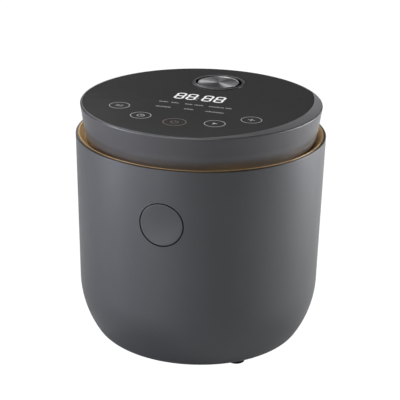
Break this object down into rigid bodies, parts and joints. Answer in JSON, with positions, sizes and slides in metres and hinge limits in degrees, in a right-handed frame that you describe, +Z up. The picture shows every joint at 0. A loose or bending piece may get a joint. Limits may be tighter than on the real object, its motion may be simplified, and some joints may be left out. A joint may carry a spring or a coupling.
{
  "type": "electric pressure cooker",
  "caption": "Round countertop electric pressure cooker with a push-button hinged lid, black glass touch panel, lift-off vent cap and removable inner pot.",
  "frame": {"origin": "on the surface that the feet stand on, below the centre of the pot", "axes": "+Z up; -Y towards the front, where the release button is; +Y towards the hinge and the power inlet; +X to the right seen from the front"},
  "size_m": [0.244, 0.2532, 0.2445],
  "materials": {
    "casing_paint": "satin metallic dark grey paint on moulded plastic",
    "black_plastic": "fine moulded texture",
    "black_rubber": "matt",
    "zinc_steel": "zinc plated",
    "sheet_steel": "brushed stainless sheet",
    "gold_trim": "satin anodised gold",
    "pot_coating": "speckled non-stick coating",
    "cast_aluminium": "cast, machined top",
    "circuit_board": "green solder mask",
    "white_plastic": "moulded",
    "blue_plastic": "moulded",
    "transformer_core": "laminated core with tape",
    "plated_brass": "nickel plated",
    "black_glass": "polished, printed from behind",
    "silicone": "translucent white silicone",
    "dark_bezel": "satin dark grey",
    "spun_metal": "spun, anodised"
  },
  "bodies": {
    "housing": {"outer_shell": "casing_paint", "base_cover": "black_plastic", "rubber_feet": "black_rubber", "base_screws": "zinc_steel", "support_posts": "black_plastic", "top_collar": "black_plastic", "gold_trim_ring": "gold_trim", "inner_pot": "pot_coating", "heat_shield": "sheet_steel", "heating_plate": "cast_aluminium", "heating_element": "sheet_steel", "sensor_spring": "zinc_steel", "thermal_fuse": "zinc_steel", "power_board": "circuit_board", "board_standoffs": "white_plastic", "power_relay": "blue_plastic", "transformer": "transformer_core", "filter_capacitors": "blue_plastic", "power_inlet": "black_plastic", "inlet_pins": "plated_brass", "hinge_bracket": "sheet_steel", "hinge_pin": "zinc_steel", "hinge_cover": "black_plastic", "latch_frame": "white_plastic", "latch_pin": "zinc_steel", "button_springs": "zinc_steel"},
    "lid": {"lid_ring": "casing_paint", "glass_panel": "black_glass", "lid_frame": "black_plastic", "display_board": "circuit_board", "display_module": "white_plastic", "touch_pads": "zinc_steel", "lid_liner": "black_plastic", "lid_screws": "zinc_steel", "inner_lid_plate": "sheet_steel", "sealing_gasket": "silicone", "valve_nozzle": "zinc_steel", "filter_cap": "sheet_steel", "float_seal": "silicone", "steam_chamber": "black_plastic", "vent_bezel": "dark_bezel", "lid_arm": "black_plastic", "latch_catch": "sheet_steel", "lid_spring": "zinc_steel"},
    "button": {"release_button": "casing_paint"},
    "latch": {"latch_lever": "white_plastic"},
    "sensor": {"temperature_sensor": "cast_aluminium"},
    "vent_cap": {"vent_cap": "spun_metal"},
    "pressure_weight": {"pressure_weight": "zinc_steel"},
    "float_valve": {"float_valve": "zinc_steel"}
  },
  "joints": [
    {"name": "lid_hinge", "type": "hinge", "parent": "housing", "child": "lid", "pos_m": [0, 0.123, 0.214], "axis": [-1, 0, 0], "range_deg": [0, 88], "deforming": ["lid_spring"]},
    {"name": "button_press", "type": "slide", "parent": "housing", "child": "button", "axis": [0, 1, 0], "range_m": [0, 0.004], "stiffness_N_per_m": 500, "springref_m": -0.002, "deforming": ["button_springs"]},
    {"name": "latch_turn", "type": "hinge", "parent": "housing", "child": "latch", "pos_m": [0, -0.1085, 0.183], "axis": [1, 0, 0], "range_deg": [0, 9.4]},
    {"name": "sensor_press", "type": "slide", "parent": "housing", "child": "sensor", "axis": [0, 0, 1], "range_m": [-0.003, 0], "stiffness_N_per_m": 400, "springref_m": 0.002, "deforming": ["sensor_spring"]},
    {"name": "vent_cap_lift", "type": "slide", "parent": "lid", "child": "vent_cap", "axis": [0, 0, 1], "range_m": [0, 0.045]},
    {"name": "weight_lift", "type": "slide", "parent": "lid", "child": "pressure_weight", "axis": [0, 0, 1], "range_m": [0, 0.003]},
    {"name": "float_lift", "type": "slide", "parent": "lid", "child": "float_valve", "axis": [0, 0, 1], "range_m": [0, 0.004]}
  ],
  "couplings": [
    {"joint": "latch_turn", "follows": "button_press", "rad_per_m": 40.65}
  ]
}
